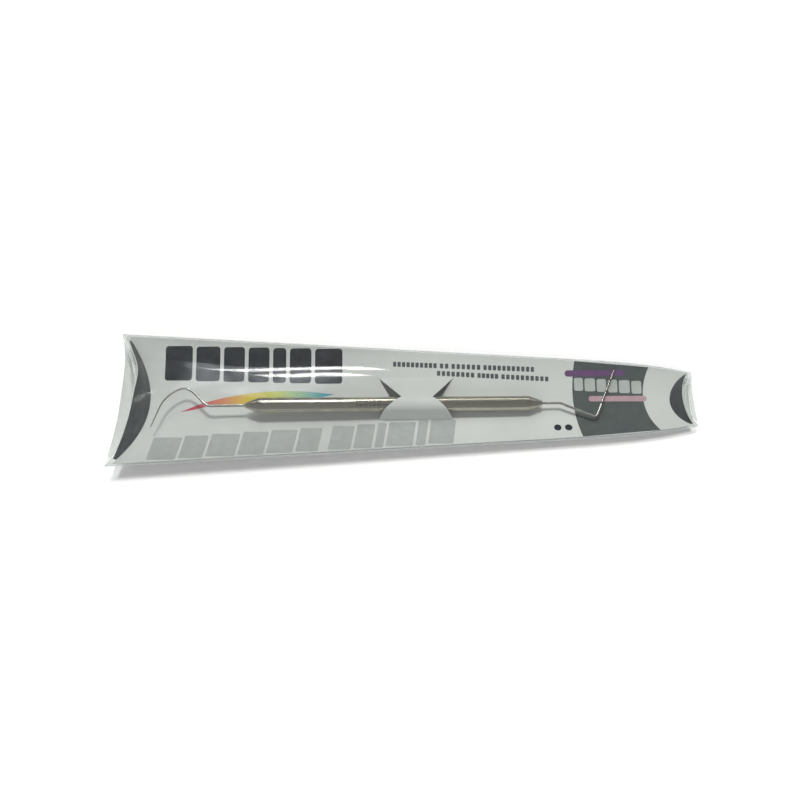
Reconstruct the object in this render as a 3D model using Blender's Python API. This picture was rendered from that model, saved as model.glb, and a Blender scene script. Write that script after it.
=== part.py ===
"""Double-ended periodontal probe held on a folded card inside a clear tapered pillow pack.

+X runs along the pack towards its narrow end, +Z is up, and the pack lies on z = 0.
All sizes below are in millimetres; MM turns them into metres.
"""

import math

import bmesh
import bpy
from mathutils import Matrix, Vector

MM = 0.001

# --- the pack: a clear film sleeve, wide at one end ---
PACK_HALF_LENGTH = 107.75
WIDE_HALF_WIDTH = 27.0
NARROW_HALF_WIDTH = 13.5  # where the straight sides would meet the narrow end
PINCH = 2.6  # how far the narrow end's corners draw in from there
PINCH_START = 60.0
RISE_RATIO = 0.26  # height of the side creases over the half width
FLAT_SHARE = 0.2  # share of the half width that lies flat on the table
FILM = 0.3
SLEEVE_ROWS = 12
BULGE_STEPS = 9

# --- the curved ends of the sleeve: how far the crease reaches in at the middle ---
WIDE_END_SAG = 5.1
NARROW_END_SAG = 1.6
FLAP_GAP = 0.45  # from the sleeve's rim to the middle of the flap's film
WIDE_OUTER_SPAN = 0.86
NARROW_OUTER_SPAN = 0.8
INNER_FLAP_SPAN = 0.6
WIDE_OUTER_REACH = (0.87, -9.9)  # inward and upward, at the middle of the flap
WIDE_INNER_REACH = (3.3, 7.2)
NARROW_OUTER_REACH = (0.3, -3.75)
NARROW_INNER_REACH = (1.8, 2.5)

# --- the card: a shallow trough with both ends folded up ---
CARD = 0.4
CARD_EDGE_DROP = 0.03  # below the side creases, over the half width
CARD_SAG = 0.165  # of the trough, over the half width
CARD_WIDE_END = (2.5, 9.8)  # the end's distance from the pack's end: at the corners, and more at the middle
CARD_NARROW_END = (1.9, 6.9)
CARD_FLAP_GAP = (0.5, 0.1)
CARD_FLAP_SPAN = 0.93
CARD_WIDE_FLAP_REACH = (-3.3, 9.9)
CARD_NARROW_FLAP_REACH = (-3.4, 3.9)

# --- the strap: cut free by two V slits and arched over the handle ---
STRAP_FAR_Y = 9.4
STRAP_NEAR_Y = -7.1
STRAP_APEX_Y = -0.6
STRAP_END_X = (-9.2, 18.6)
STRAP_APEX_X = (-0.7, 10.9)
SLIT = 0.4
SLIT_SPREAD = (2.8, 0.8)  # how much wider each slit stands open at the apex
STRAP_CLEARANCE = 0.5  # from the handle's surface to the middle of the strap

# --- the probe: its own frame has +X along the handle, towards the graduated end ---
HANDLE_RADIUS = 2.775
HANDLE_BORE = 1.6
HANDLE_ENDS = (-53.4, 46.4)
HANDLE_EDGE = 0.15
CONE_LENGTH = 5.0
CONE_SHOULDER_GAP = 0.05
SPIGOT_RADIUS = 1.57
SPIGOT_LENGTH = 6.0
EXPLORER_WIRE = 0.575
PROBE_WIRE = 0.5
WIRE_FIT = 0.03
WIRE_ROOT = 4.0
CONE_WALL = 0.17
PROBE_PIVOT = (51.4, -1.9, 4.375)  # the end of the handle nearest the narrow end of the pack
PROBE_PITCH = math.radians(1.4)
PROBE_YAW = math.radians(0.7)

EXPLORER_PATH = (
    (-62.0, 0.0),
    (-66.0, 0.0),
    (-69.8, -0.05),
    (-71.9, 0.05),
    (-73.5, 0.95),
    (-75.8, 3.4),
    (-78.0, 5.55),
    (-80.9, 7.05),
    (-83.6, 6.55),
    (-86.2, 4.9),
    (-88.2, 2.75),
    (-89.6, 0.3),
    (-90.6, -2.6),
    (-91.6, -5.6),
    (-92.6, -8.6),
)
EXPLORER_TIP = 0.16
PROBE_CORNERS = ((57.9, 0.0, 3.0), (70.7, -5.9, 1.3))  # x, y and bend radius
PROBE_TIP_POINT = (79.1, 13.3)
PROBE_TIP = 0.34
GRADUATIONS = 15
BANDS = (5, 10, 15)  # the millimetre that ends each wide band
GROOVE_DEPTH = 0.05
GROOVE_WIDTH = 0.22


def clear_scene():
    for item in list(bpy.data.objects):
        bpy.data.objects.remove(item, do_unlink=True)


def half_width(x):
    share = (x + PACK_HALF_LENGTH) / (2 * PACK_HALF_LENGTH)
    straight = WIDE_HALF_WIDTH + share * (NARROW_HALF_WIDTH - WIDE_HALF_WIDTH)
    near_end = max(0.0, (x - PINCH_START) / (PACK_HALF_LENGTH - PINCH_START))
    return straight - PINCH * near_end**3


def crease_height(x):
    return RISE_RATIO * half_width(x)


def bulge(share):
    """1 over the flat strip, falling to 0 at the side creases."""
    past = (abs(share) - FLAT_SHARE) / (1 - FLAT_SHARE)
    return 1.0 if past <= 0 else 1 - past * past


def principled(name, colour, roughness, metallic=0.0, alpha=1.0):
    material = bpy.data.materials.new(name)
    material.use_nodes = True
    shader = material.node_tree.nodes["Principled BSDF"]
    shader.inputs["Base Color"].default_value = (*colour, 1.0)
    shader.inputs["Roughness"].default_value = roughness
    shader.inputs["Metallic"].default_value = metallic
    shader.inputs["Alpha"].default_value = alpha
    return material


def add_object(name, bm, material, location=(0, 0, 0), smooth=False, parent=None):
    """The mesh is given in the frame of its own origin, in millimetres."""
    bmesh.ops.scale(bm, vec=(MM, MM, MM), verts=bm.verts)
    bmesh.ops.recalc_face_normals(bm, faces=bm.faces)
    mesh = bpy.data.meshes.new(name)
    bm.to_mesh(mesh)
    bm.free()
    mesh.materials.append(material)
    if smooth:
        mesh.shade_smooth()
    item = bpy.data.objects.new(name, mesh)
    item.location = Vector(location) * MM
    item.parent = parent
    bpy.context.collection.objects.link(item)
    return item


def ring_surface(bm, rings, closed=False):
    """Quads between rings of points. With closed, the last ring joins the first."""
    loops = [[bm.verts.new(point) for point in ring] for ring in rings]
    count = len(loops[0])
    pairs = list(zip(loops, loops[1:]))
    if closed:
        pairs.append((loops[-1], loops[0]))
    for low, high in pairs:
        for i in range(count):
            j = (i + 1) % count
            bm.faces.new((low[i], low[j], high[j], high[i]))
    return loops


def sheet_object(name, rows, thickness, material, location=(0, 0, 0)):
    """A sheet through rows of points, made solid on both sides of them."""
    bm = bmesh.new()
    grid = [[bm.verts.new(Vector(p) - Vector(location)) for p in row] for row in rows]
    for low, high in zip(grid, grid[1:]):
        for i in range(len(low) - 1):
            bm.faces.new((low[i], low[i + 1], high[i + 1], high[i]))
    item = add_object(name, bm, material, location)
    thicken(item, thickness)
    return item


def thicken(item, thickness):
    solid = item.modifiers.new("Thickness", "SOLIDIFY")
    solid.thickness = thickness * MM
    solid.offset = 0.0
    solid.use_even_offset = True


# ----------------------------------------------------------------- the sleeve


def across_shares():
    """From one side crease to the other, with no step inside the flat strip."""
    side = [FLAT_SHARE + (1 - FLAT_SHARE) * i / BULGE_STEPS for i in range(BULGE_STEPS + 1)]
    return [-s for s in reversed(side)] + side


def sleeve_point(share, side, x, inside):
    """side is 1 for the top panel and -1 for the bottom one."""
    width = half_width(x)
    height = crease_height(x)
    if inside:
        corner = FLAT_SHARE + (1 - FLAT_SHARE) * math.sqrt(1 - FILM / height)
        share = share * corner
    rise = height * bulge(share) - (FILM if inside else 0.0)
    return (x, share * width, height + side * rise)


def sleeve_ring(row, inside):
    shares = across_shares()
    around = [(s, 1) for s in shares] + [(s, -1) for s in reversed(shares[1:-1])]
    ring = []
    for share, side in around:
        low = -PACK_HALF_LENGTH + WIDE_END_SAG * bulge(share)
        high = PACK_HALF_LENGTH - NARROW_END_SAG * bulge(share)
        x = low + (high - low) * row / SLEEVE_ROWS
        ring.append(sleeve_point(share, side, x, inside))
    return ring


def build_sleeve(material):
    bm = bmesh.new()
    rings = [sleeve_ring(row, False) for row in range(SLEEVE_ROWS + 1)]
    rings += [sleeve_ring(row, True) for row in reversed(range(SLEEVE_ROWS + 1))]
    ring_surface(bm, rings, closed=True)
    return add_object("sleeve", bm, material)


# ----------------------------------------------------------------- the film flaps


def flap_rows(end, side, sag, reach, span, columns, rows):
    """end is -1 at the wide end and 1 at the narrow one; side is 1 when it folds down from the top."""
    result = []
    for row in range(rows + 1):
        along = row / rows
        line = []
        for column in range(columns + 1):
            share = span * (2 * column / columns - 1)
            full = bulge(share)
            rim = end * (PACK_HALF_LENGTH - sag * full)
            x = rim + end * FLAP_GAP - end * along * reach[0] * full * full
            z = crease_height(rim) * (1 + side * full) - side * FILM / 2 + along * reach[1] * full
            line.append((x, share * half_width(rim), z))
        result.append(line)
    return result


def build_film_flap(name, end, side, sag, reach, span, material):
    rows = flap_rows(end, side, sag, reach, span, 16, 3)
    hinge = rows[0][8]
    return sheet_object(name, rows, FILM, material, hinge)


# ----------------------------------------------------------------- the card


def card_half_width(x):
    return 0.953 * half_width(x) - 1.8


def card_height(x, y):
    """The middle of the card's thickness."""
    width = half_width(x)
    share = y / card_half_width(x)
    trough = CARD_SAG * width * (1 - share * share)
    return crease_height(x) - CARD_EDGE_DROP * width - trough


def handle_centre(x):
    """Where the handle's axis passes over x: its y and z."""
    along = x - PROBE_PIVOT[0]
    y = PROBE_PIVOT[1] + along * math.tan(PROBE_YAW)
    z = PROBE_PIVOT[2] - along * math.tan(PROBE_PITCH)
    return y, z


def tangent_height(y, foot, centre, radius):
    """Height at y of the line from foot that just touches the top of the circle, and where it touches."""
    dy = centre[0] - foot[0]
    dz = centre[1] - foot[1]
    far = math.hypot(dy, dz)
    angle = math.atan2(dz, abs(dy)) + math.asin(radius / far)
    touch = centre[0] - math.copysign(radius * math.sin(angle), dy)
    return foot[1] + abs(y - foot[0]) * math.tan(angle), touch


def strap_height(x, y):
    """A band pulled from the card's surface over the handle and back to the card."""
    centre = handle_centre(x)
    radius = HANDLE_RADIUS + STRAP_CLEARANCE
    far_line, far_touch = tangent_height(y, (STRAP_FAR_Y, card_height(x, STRAP_FAR_Y)), centre, radius)
    near_line, near_touch = tangent_height(y, (STRAP_NEAR_Y, card_height(x, STRAP_NEAR_Y)), centre, radius)
    if y >= far_touch:
        return far_line
    if y <= near_touch:
        return near_line
    return centre[1] + math.sqrt(radius**2 - (y - centre[0]) ** 2)


def strap_ys():
    """The lines of the grid across the strap: close together where it bends over the handle."""
    near = [STRAP_NEAR_Y, -6.7, -6.3, -5.9, -5.55, -5.2, -4.8, -4.3, -3.7, -3.0, -2.2]
    far = [-1.4, STRAP_APEX_Y, 0.0, 0.6, 1.3, 2.2, 3.2, 4.4, 5.7, 7.0, 8.2, STRAP_FAR_Y]
    return near + far


def narrowing(x):
    """Keeps the grid's middle lines inside the card where the card is narrow."""
    return min(1.0, card_half_width(x) / 14.5)


def card_columns():
    """Each column is a function that gives y at x."""
    edge_steps = 6

    def beside(side, inner, step):
        share = step / edge_steps

        def place(x):
            start = inner * narrowing(x)
            return start + (side * card_half_width(x) - start) * share

        return place

    def middle(y):
        return lambda x: y * narrowing(x)

    columns = [beside(-1, STRAP_NEAR_Y, step) for step in range(edge_steps, 0, -1)]
    columns += [middle(y) for y in strap_ys()]
    columns += [beside(1, STRAP_FAR_Y, step) for step in range(1, edge_steps + 1)]
    first = edge_steps
    last = edge_steps + len(strap_ys()) - 1
    return columns, first, last


def card_end_x(end, place):
    """Where a column meets the curved end of the card."""
    corner, more = CARD_WIDE_END if end < 0 else CARD_NARROW_END
    x = end * (PACK_HALF_LENGTH - corner)
    for _ in range(12):
        share = place(x) / card_half_width(x)
        x = end * (PACK_HALF_LENGTH - corner - more * (1 - share * share))
    return x


def slit_sides(which, y):
    """x of the strap's edge and of the card's edge beside it, from a corner to the apex and back."""
    outwards = 1 if which else -1
    end_x = STRAP_END_X[which]
    apex_x = STRAP_APEX_X[which]
    foot = STRAP_FAR_Y if y > STRAP_APEX_Y else STRAP_NEAR_Y
    share = min(1.0, max(0.0, (y - STRAP_APEX_Y) / (foot - STRAP_APEX_Y)))
    middle = apex_x + (end_x - apex_x) * share
    return middle - outwards * SLIT / 2, middle + outwards * (SLIT / 2 + SLIT_SPREAD[which] * (1 - share))


def steps_between(low, high, count):
    return [low + (high - low) * i / count for i in range(count + 1)]


def build_card(material):
    columns, first, last = card_columns()
    parts = (14, 6, 14)
    bm = bmesh.new()
    grid = []
    for index, place in enumerate(columns):
        inside = first <= index <= last
        y = min(STRAP_FAR_Y, max(STRAP_NEAR_Y, place(0.0)))
        strap_left, card_left = slit_sides(0, y)
        strap_right, card_right = slit_sides(1, y)
        xs = steps_between(card_end_x(-1, place), card_left, parts[0])
        xs += steps_between(strap_left, strap_right, parts[1])
        xs += steps_between(card_right, card_end_x(1, place), parts[2])
        line = []
        for i, x in enumerate(xs):
            on_strap = inside and parts[0] < i <= parts[0] + 1 + parts[1]
            at = place(x)
            z = strap_height(x, at) if on_strap else card_height(x, at)
            line.append(bm.verts.new((x, at, z)))
        grid.append(line)
    slits = (parts[0], parts[0] + 1 + parts[1])
    for j in range(len(grid) - 1):
        open_here = first <= j < last
        for i in range(len(grid[0]) - 1):
            if open_here and i in slits:
                continue
            bm.faces.new((grid[j][i], grid[j][i + 1], grid[j + 1][i + 1], grid[j + 1][i]))
    item = add_object("card_panel", bm, material)
    thicken(item, CARD)
    return item


def build_card_flap(name, end, reach, material):
    columns = 16
    rows = 4
    corner, more = CARD_WIDE_END if end < 0 else CARD_NARROW_END
    out, up = CARD_FLAP_GAP
    lines = []
    for row in range(rows + 1):
        along = row / rows
        line = []
        for column in range(columns + 1):
            share = CARD_FLAP_SPAN * (2 * column / columns - 1)
            full = 1 - share * share
            rim = end * (PACK_HALF_LENGTH - corner - more * full)
            y = share * card_half_width(rim)
            x = rim + end * (out - along * reach[0] * full)
            z = card_height(rim, y) + up + along * reach[1] * full
            line.append((x, y, z))
        lines.append(line)
    hinge = lines[0][columns // 2]
    return sheet_object(name, lines, CARD, material, hinge)


# ----------------------------------------------------------------- the probe


def lathe(bm, profile, segments=24, closed=False):
    """Turns (x, radius) points about the X axis. An open profile gets flat ends."""
    rings = []
    for x, radius in profile:
        ring = []
        for i in range(segments):
            angle = 2 * math.pi * i / segments
            ring.append((x, radius * math.cos(angle), radius * math.sin(angle)))
        rings.append(ring)
    loops = ring_surface(bm, rings, closed)
    if not closed:
        bm.faces.new(loops[0])
        bm.faces.new(loops[-1])


def build_handle(material, frame):
    low, high = HANDLE_ENDS
    outer = HANDLE_RADIUS
    profile = [
        (low, HANDLE_BORE),
        (low, outer - HANDLE_EDGE),
        (low + HANDLE_EDGE, outer),
        (high - HANDLE_EDGE, outer),
        (high, outer - HANDLE_EDGE),
        (high, HANDLE_BORE),
    ]
    bm = bmesh.new()
    lathe(bm, profile, closed=True)
    return add_object("handle_tube", bm, material, smooth=True, parent=frame)


def build_cone(name, end, wire, material, frame):
    """A tapered end piece: a spigot in the handle's bore and a bored nose for the wire."""
    start = HANDLE_ENDS[0] if end < 0 else HANDLE_ENDS[1]
    shoulder = start + end * CONE_SHOULDER_GAP
    nose = start + end * CONE_LENGTH
    bore = wire + WIRE_FIT
    nose_radius = bore + CONE_WALL
    base = HANDLE_RADIUS - HANDLE_EDGE
    profile = [
        (start - end * SPIGOT_LENGTH, bore),
        (start - end * SPIGOT_LENGTH, SPIGOT_RADIUS - 0.2),
        (start - end * (SPIGOT_LENGTH - 0.3), SPIGOT_RADIUS),
        (shoulder, SPIGOT_RADIUS),
        (shoulder, base),
        (shoulder + end * HANDLE_EDGE, HANDLE_RADIUS),
        (nose - end * 0.35, nose_radius + 0.22),
        (nose, nose_radius),
        (nose, bore),
    ]
    bm = bmesh.new()
    lathe(bm, profile, closed=True)
    return add_object(name, bm, material, smooth=True, parent=frame)


def smooth_path(points, per_step):
    """A curve through all the points, passing each one along the line of its neighbours."""
    first = 2 * Vector(points[0]) - Vector(points[1])
    last = 2 * Vector(points[-1]) - Vector(points[-2])
    knots = [first] + [Vector(p) for p in points] + [last]
    path = []
    for a, b, c, d in zip(knots, knots[1:], knots[2:], knots[3:]):
        for i in range(per_step):
            t = i / per_step
            path.append(
                0.5
                * (
                    2 * b
                    + (c - a) * t
                    + (2 * a - 5 * b + 4 * c - d) * t * t
                    + (3 * b - a - 3 * c + d) * t * t * t
                )
            )
    path.append(Vector(points[-1]))
    return path


def bent_path(start, corners, end, arc_steps):
    """Straight runs joined by bends of a given radius."""
    stops = [Vector(start)] + [Vector(c[:2]) for c in corners] + [Vector(end)]
    path = [stops[0]]
    for index, corner in enumerate(corners, start=1):
        here = stops[index]
        back = (stops[index - 1] - here).normalized()
        ahead = (stops[index + 1] - here).normalized()
        half = back.angle(ahead) / 2
        run = corner[2] / math.tan(half)
        middle = here + (back + ahead).normalized() * corner[2] / math.sin(half)
        from_point = here + back * run - middle
        to_point = here + ahead * run - middle
        turn = from_point.angle_signed(to_point)
        for i in range(arc_steps + 1):
            spin = Matrix.Rotation(-turn * i / arc_steps, 2)
            path.append(middle + spin @ from_point)
    path.append(stops[-1])
    return path


def sweep(bm, path, radii, segments):
    """A round wire along a flat path in the XY plane."""
    rings = []
    for index, (point, radius) in enumerate(zip(path, radii)):
        before = path[max(index - 1, 0)]
        after = path[min(index + 1, len(path) - 1)]
        way = (after - before).normalized()
        side = Vector((-way.y, way.x))
        ring = []
        for i in range(segments):
            angle = 2 * math.pi * i / segments
            flat = side * radius * math.cos(angle)
            ring.append((point.x + flat.x, point.y + flat.y, radius * math.sin(angle)))
        rings.append(ring)
    loops = ring_surface(bm, rings)
    bm.faces.new(loops[0])
    bm.faces.new(loops[-1])


def build_explorer(material, frame):
    root = HANDLE_ENDS[0] - CONE_LENGTH + WIRE_ROOT
    path = smooth_path([(root, 0.0), (-57.9, 0.0)] + list(EXPLORER_PATH), 3)
    lengths = [0.0]
    for low, high in zip(path, path[1:]):
        lengths.append(lengths[-1] + (high - low).length)
    taper_start = 17.0
    radii = []
    for length in lengths:
        share = max(0.0, (length - taper_start) / (lengths[-1] - taper_start))
        radii.append(EXPLORER_WIRE + (EXPLORER_TIP - EXPLORER_WIRE) * share**1.2)
    bm = bmesh.new()
    sweep(bm, path, radii, 12)
    return add_object("explorer_shank", bm, material, smooth=True, parent=frame)


def graduated_run(tip, elbow):
    """Points and radii from the elbow to the tip, with a groove at each millimetre and wide bands."""
    way = (elbow - tip).normalized()
    length = (elbow - tip).length
    cuts = []
    for mark in range(1, GRADUATIONS + 1):
        if mark in BANDS:
            cuts.append((mark - 1 + GROOVE_WIDTH, mark))
        elif mark + 1 not in BANDS:
            cuts.append((mark - GROOVE_WIDTH / 2, mark + GROOVE_WIDTH / 2))
    stations = [(0.0, PROBE_TIP * 0.55), (0.12, PROBE_TIP)]

    def taper(at):
        return PROBE_TIP + (PROBE_WIRE - PROBE_TIP) * min(1.0, at / length)

    for low, high in cuts:
        stations.append((low - 0.03, taper(low)))
        stations.append((low, taper(low) - GROOVE_DEPTH))
        stations.append((high, taper(high) - GROOVE_DEPTH))
        stations.append((high + 0.03, taper(high)))
    stations.sort(reverse=True)
    return [tip + way * at for at, _ in stations], [radius for _, radius in stations]


def build_probe(material, frame):
    root = HANDLE_ENDS[1] + CONE_LENGTH - WIRE_ROOT
    bends = bent_path((root, 0.0), PROBE_CORNERS, PROBE_TIP_POINT, 8)[:-1]
    points, radii = graduated_run(Vector(PROBE_TIP_POINT), bends[-1])
    path = bends + points
    radii = [PROBE_WIRE] * len(bends) + radii
    bm = bmesh.new()
    sweep(bm, path, radii, 12)
    return add_object("probe_shank", bm, material, smooth=True, parent=frame)


def probe_frame():
    """The probe's own axis: it lies a little askew under the strap."""
    frame = bpy.data.objects.new("probe_axis", None)
    place = Matrix.Translation(Vector(PROBE_PIVOT) * MM)
    turn = Matrix.Rotation(PROBE_YAW, 4, "Z") @ Matrix.Rotation(PROBE_PITCH, 4, "Y")
    back = Matrix.Translation(Vector((-PROBE_PIVOT[0] * MM, 0, 0)))
    frame.matrix_world = place @ turn @ back
    bpy.context.collection.objects.link(frame)
    return frame


def main():
    clear_scene()
    film = (0.86, 0.89, 0.88)
    build_sleeve(principled("sleeve", film, 0.08, alpha=0.25))
    flaps = (
        ("wide_outer_flap", -1, 1, WIDE_END_SAG, WIDE_OUTER_REACH, WIDE_OUTER_SPAN),
        ("wide_inner_flap", -1, -1, WIDE_END_SAG, WIDE_INNER_REACH, INNER_FLAP_SPAN),
        ("narrow_outer_flap", 1, 1, NARROW_END_SAG, NARROW_OUTER_REACH, NARROW_OUTER_SPAN),
        ("narrow_inner_flap", 1, -1, NARROW_END_SAG, NARROW_INNER_REACH, INNER_FLAP_SPAN),
    )
    for name, end, side, sag, reach, span in flaps:
        build_film_flap(name, end, side, sag, reach, span, principled(name, film, 0.08, alpha=0.25))

    build_card(principled("card_panel", (0.72, 0.75, 0.74), 0.55))
    dark = (0.10, 0.11, 0.12)
    build_card_flap("card_wide_flap", -1, CARD_WIDE_FLAP_REACH, principled("card_wide_flap", dark, 0.5))
    build_card_flap("card_narrow_flap", 1, CARD_NARROW_FLAP_REACH, principled("card_narrow_flap", dark, 0.5))

    frame = probe_frame()
    satin = (0.55, 0.53, 0.51)
    bright = (0.72, 0.71, 0.69)
    build_handle(principled("handle_tube", satin, 0.32, 1.0), frame)
    build_cone("explorer_cone", -1, EXPLORER_WIRE, principled("explorer_cone", satin, 0.28, 1.0), frame)
    build_cone("probe_cone", 1, PROBE_WIRE, principled("probe_cone", satin, 0.28, 1.0), frame)
    build_explorer(principled("explorer_shank", bright, 0.2, 1.0), frame)
    build_probe(principled("probe_shank", bright, 0.2, 1.0), frame)


main()
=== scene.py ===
"""Looks of a periodontal probe on its printed card, inside a clear pillow pack.

Sizes are in millimetres until a mesh is made, and MM turns them into metres.
+X runs towards the narrow end of the pack, +Y away from the camera, +Z up.
"""

import math

import bmesh
import bpy
from mathutils import Matrix, Vector, noise


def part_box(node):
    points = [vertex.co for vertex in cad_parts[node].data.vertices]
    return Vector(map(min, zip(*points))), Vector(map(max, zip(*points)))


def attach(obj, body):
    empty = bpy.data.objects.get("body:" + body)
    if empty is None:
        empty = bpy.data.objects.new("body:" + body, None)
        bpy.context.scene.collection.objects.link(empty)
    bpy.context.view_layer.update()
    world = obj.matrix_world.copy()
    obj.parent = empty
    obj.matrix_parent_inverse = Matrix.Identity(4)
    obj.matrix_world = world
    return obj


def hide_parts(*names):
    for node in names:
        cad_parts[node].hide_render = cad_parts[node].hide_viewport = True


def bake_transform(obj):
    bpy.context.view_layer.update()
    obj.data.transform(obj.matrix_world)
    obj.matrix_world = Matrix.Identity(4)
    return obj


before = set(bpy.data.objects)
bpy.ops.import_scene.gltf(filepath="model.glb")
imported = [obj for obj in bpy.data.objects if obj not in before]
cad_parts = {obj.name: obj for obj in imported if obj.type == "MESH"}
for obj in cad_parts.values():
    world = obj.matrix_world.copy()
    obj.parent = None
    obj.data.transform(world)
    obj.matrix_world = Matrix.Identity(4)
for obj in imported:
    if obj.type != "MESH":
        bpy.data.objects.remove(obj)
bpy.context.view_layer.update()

MM = 0.001

# --- the pack's outline, as in the CAD ---
HALF_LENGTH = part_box("sleeve")[1].x / MM
WIDE_HALF_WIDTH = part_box("sleeve")[1].y / MM
NARROW_HALF_WIDTH = 13.5
PINCH = 2.6
PINCH_START = 60.0
RISE_RATIO = 0.26
FLAT_SHARE = 0.2
WIDE_END_SAG = 5.1
NARROW_END_SAG = 1.6

# --- the clear film ---
FILM = 0.2
FILM_RIPPLE = 0.30  # how far the top panel sinks in its shallow dents
LAP_SHARES = (0.62, 0.985)  # the glued lap on the bottom panel, from its free edge to the far crease
LAP_LIFT = 0.06
FLAP_OFFSET = 0.35  # how far outside the crease a flap hangs
CREASE_RADIUS = 0.24

# --- the card ---
CARD = 0.32
CARD_MARGIN = 0.9
TROUGH = 0.195  # depth of the trough over the half width
WIDE_END = (2.5, 9.8)  # distance from the pack's end: at the corners, and more at the middle
NARROW_END = (1.9, 6.9)
NARROWING = 15.5  # the strap's columns draw in where half of the card is narrower than this
CARD_FLAP_SPAN = 0.93
CARD_FLAP_GAP = 0.12  # between the card's end and its folded end
CARD_FLAP_OFFSET = 0.35  # how far outside the card's end the folded end stands
WIDE_FLAP_REACH = (-3.3, 9.9)  # how far a folded end leans inwards and how far it rises
NARROW_FLAP_REACH = (-3.4, 3.9)
CURL_PLACE = 0.45  # the share of the half width where a folded end curls most
CURL_WIDTH = 0.3

# --- the strap, cut free by two slits ---
STRAP_FAR_Y = 9.4
STRAP_NEAR_Y = -7.1
STRAP_APEX_Y = -0.6
STRAP_END_X = (-9.2, 18.6)
STRAP_APEX_X = (-0.7, 10.9)
SLIT = 0.16
SLIT_SPREAD = (2.8, 0.8)  # how much wider each slit stands open at the apex
STRAP_CLEARANCE = 0.5

# --- the print ---
INK = 0.015  # the thickness of a coat of ink
INK_GAP = 0.012  # between the card and its first coat
INK_LAYER = 0.03  # how much higher the next coat lies
INK_CELL = (4.0, 1.0)  # the cells of a coat along X and Y, small enough to follow the trough
# the rainbow bar's two sides, from its thin end on the left
RAINBOW_UPPER = ((-83.5, -3.5), (-75.0, 0.2), (-64.5, 2.8), (-53.0, 4.5), (-39.0, 4.7), (-26.0, 3.4))
RAINBOW_LOWER = ((-83.5, -3.5), (-78.4, -2.6), (-72.5, -1.2), (-60.0, -0.4), (-40.0, 0.5), (-26.0, 3.4))

# --- the probe, along its own axis ---
HANDLE_RADIUS = 2.775
HANDLE_ENDS = (-53.4, 46.4)
CONE_LENGTH = 5.0
EXPLORER_WIRE = 0.575
EXPLORER_TIP = 0.16
PROBE_WIRE = 0.5
PROBE_TIP = 0.34
PROBE_PIVOT = (51.4, -1.9, 4.375)
PROBE_PITCH = math.radians(1.4)
PROBE_YAW = math.radians(0.7)
EXPLORER_PATH = (
    (-57.0, 0.0), (-62.0, 0.0), (-66.0, 0.0), (-69.8, -0.05),
    (-71.9, 0.05), (-73.5, 0.95), (-75.8, 3.4), (-78.0, 5.55),
    (-80.9, 7.05), (-83.6, 6.55), (-86.2, 4.9), (-88.2, 2.75),
    (-89.6, 0.3), (-90.6, -2.6), (-91.6, -5.6), (-92.6, -8.6),
)
PROBE_CORNERS = ((57.9, 0.0, 3.0), (70.7, -5.9, 1.3))
PROBE_TIP_POINT = (79.1, 13.3)
GRADUATIONS = 15
BANDS = (5, 10, 15)
GROOVE_DEPTH = 0.05
GROOVE_WIDTH = 0.3
GROOVE_SIDE = 0.04  # the length of a groove's slanted side


# ----------------------------------------------------------------- materials


class Graph:
    """A material's nodes: add() makes one, sets its inputs and links those that are sockets."""

    def __init__(self, name):
        self.material = bpy.data.materials.new(name)
        self.material.use_nodes = True
        self.tree = self.material.node_tree
        self.tree.nodes.clear()

    def add(self, kind, inputs=None, **settings):
        node = self.tree.nodes.new("ShaderNode" + kind)
        for key, value in settings.items():
            setattr(node, key, value)
        for key, value in (inputs or {}).items():
            if isinstance(value, bpy.types.NodeSocket):
                self.tree.links.new(value, node.inputs[key])
            else:
                node.inputs[key].default_value = value
        return node

    def place(self, stretch=(1, 1, 1)):
        """Coordinates in millimetres, stretched along the axes."""
        where = self.add("TexCoord").outputs["Object"]
        scale = tuple(s / MM for s in stretch)
        return self.add("Mapping", {"Vector": where, "Scale": scale}).outputs["Vector"]

    def noise(self, scale, detail=2.0, stretch=(1, 1, 1), roughness=0.5):
        inputs = {"Vector": self.place(stretch), "Scale": scale, "Detail": detail, "Roughness": roughness}
        return self.add("TexNoise", inputs).outputs["Fac"]

    def ramp(self, source, stops, interpolation="LINEAR"):
        node = self.add("ValToRGB", {"Fac": source})
        node.color_ramp.interpolation = interpolation
        elements = node.color_ramp.elements
        while len(elements) < len(stops):
            elements.new(0.5)
        for element, (position, colour) in zip(elements, stops):
            element.position = position
            element.color = (*colour, 1.0)
        return node.outputs["Color"]

    def between(self, source, low, high):
        """Turns a value from 0 to 1 into one from low to high."""
        inputs = {"Value": source, "To Min": low, "To Max": high}
        return self.add("MapRange", inputs).outputs["Result"]

    def bump(self, height, distance, strength=1.0):
        inputs = {"Height": height, "Distance": distance * MM, "Strength": strength}
        return self.add("Bump", inputs).outputs["Normal"]

    def finish(self, shader):
        output = self.add("OutputMaterial")
        self.tree.links.new(shader.outputs[0], output.inputs["Surface"])
        return self.material

    def principled(self, inputs):
        return self.finish(self.add("BsdfPrincipled", inputs))


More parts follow.
